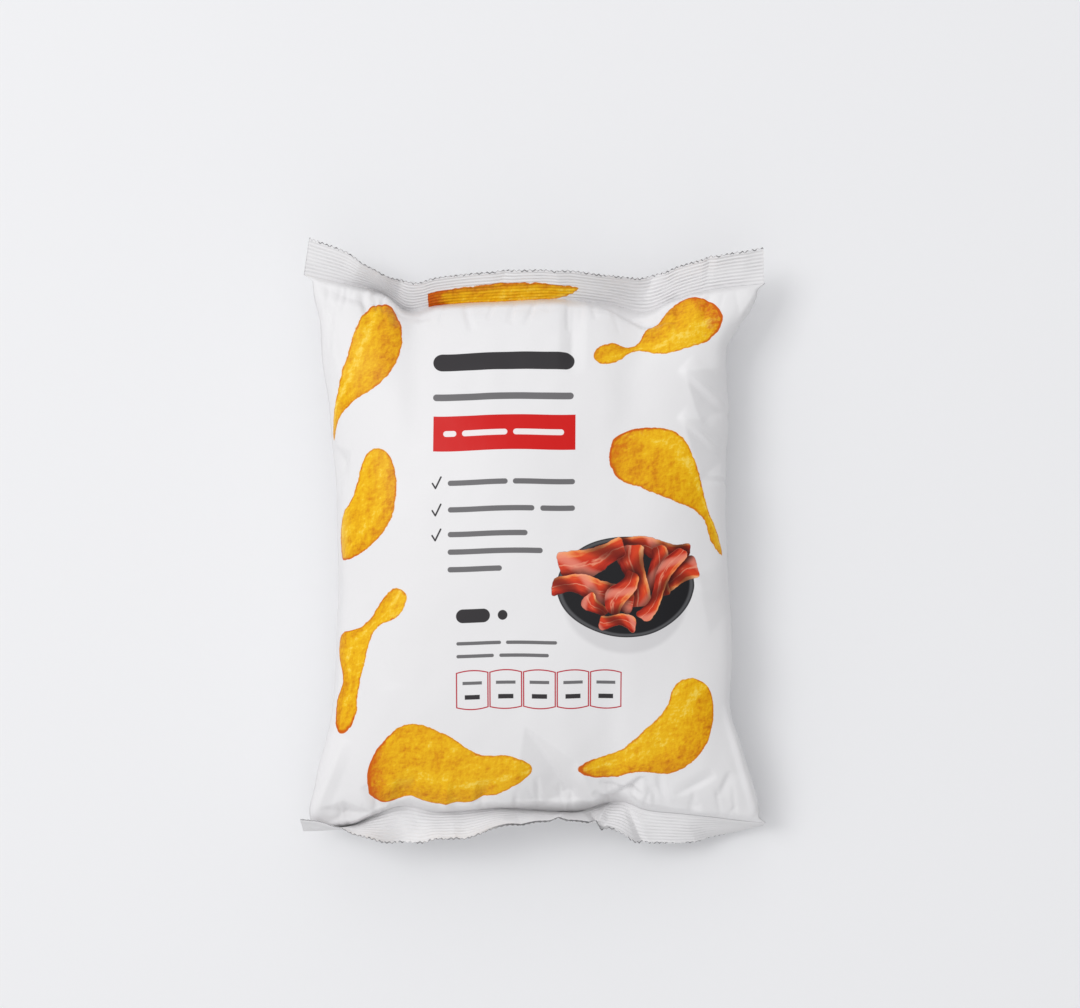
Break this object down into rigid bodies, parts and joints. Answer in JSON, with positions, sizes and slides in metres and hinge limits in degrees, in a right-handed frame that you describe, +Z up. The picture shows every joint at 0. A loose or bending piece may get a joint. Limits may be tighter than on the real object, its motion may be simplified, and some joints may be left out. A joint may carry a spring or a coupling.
{
  "type": "bag of crisps",
  "caption": "Filled pillow bag of plastic film, lying on its back, with a crimped toothed band at its top and bottom, pulled-in sides and a lap seam along its back.",
  "frame": {"origin": "middle of the bag's outline, on the surface that it lies on", "axes": "+X to the right of the printed front, +Y towards the top band, +Z up, away from the surface"},
  "size_m": [0.2004, 0.2594, 0.0613],
  "materials": {
    "film": "satin"
  },
  "bodies": {
    "root": {"bag": "film"}
  },
  "joints": []
}
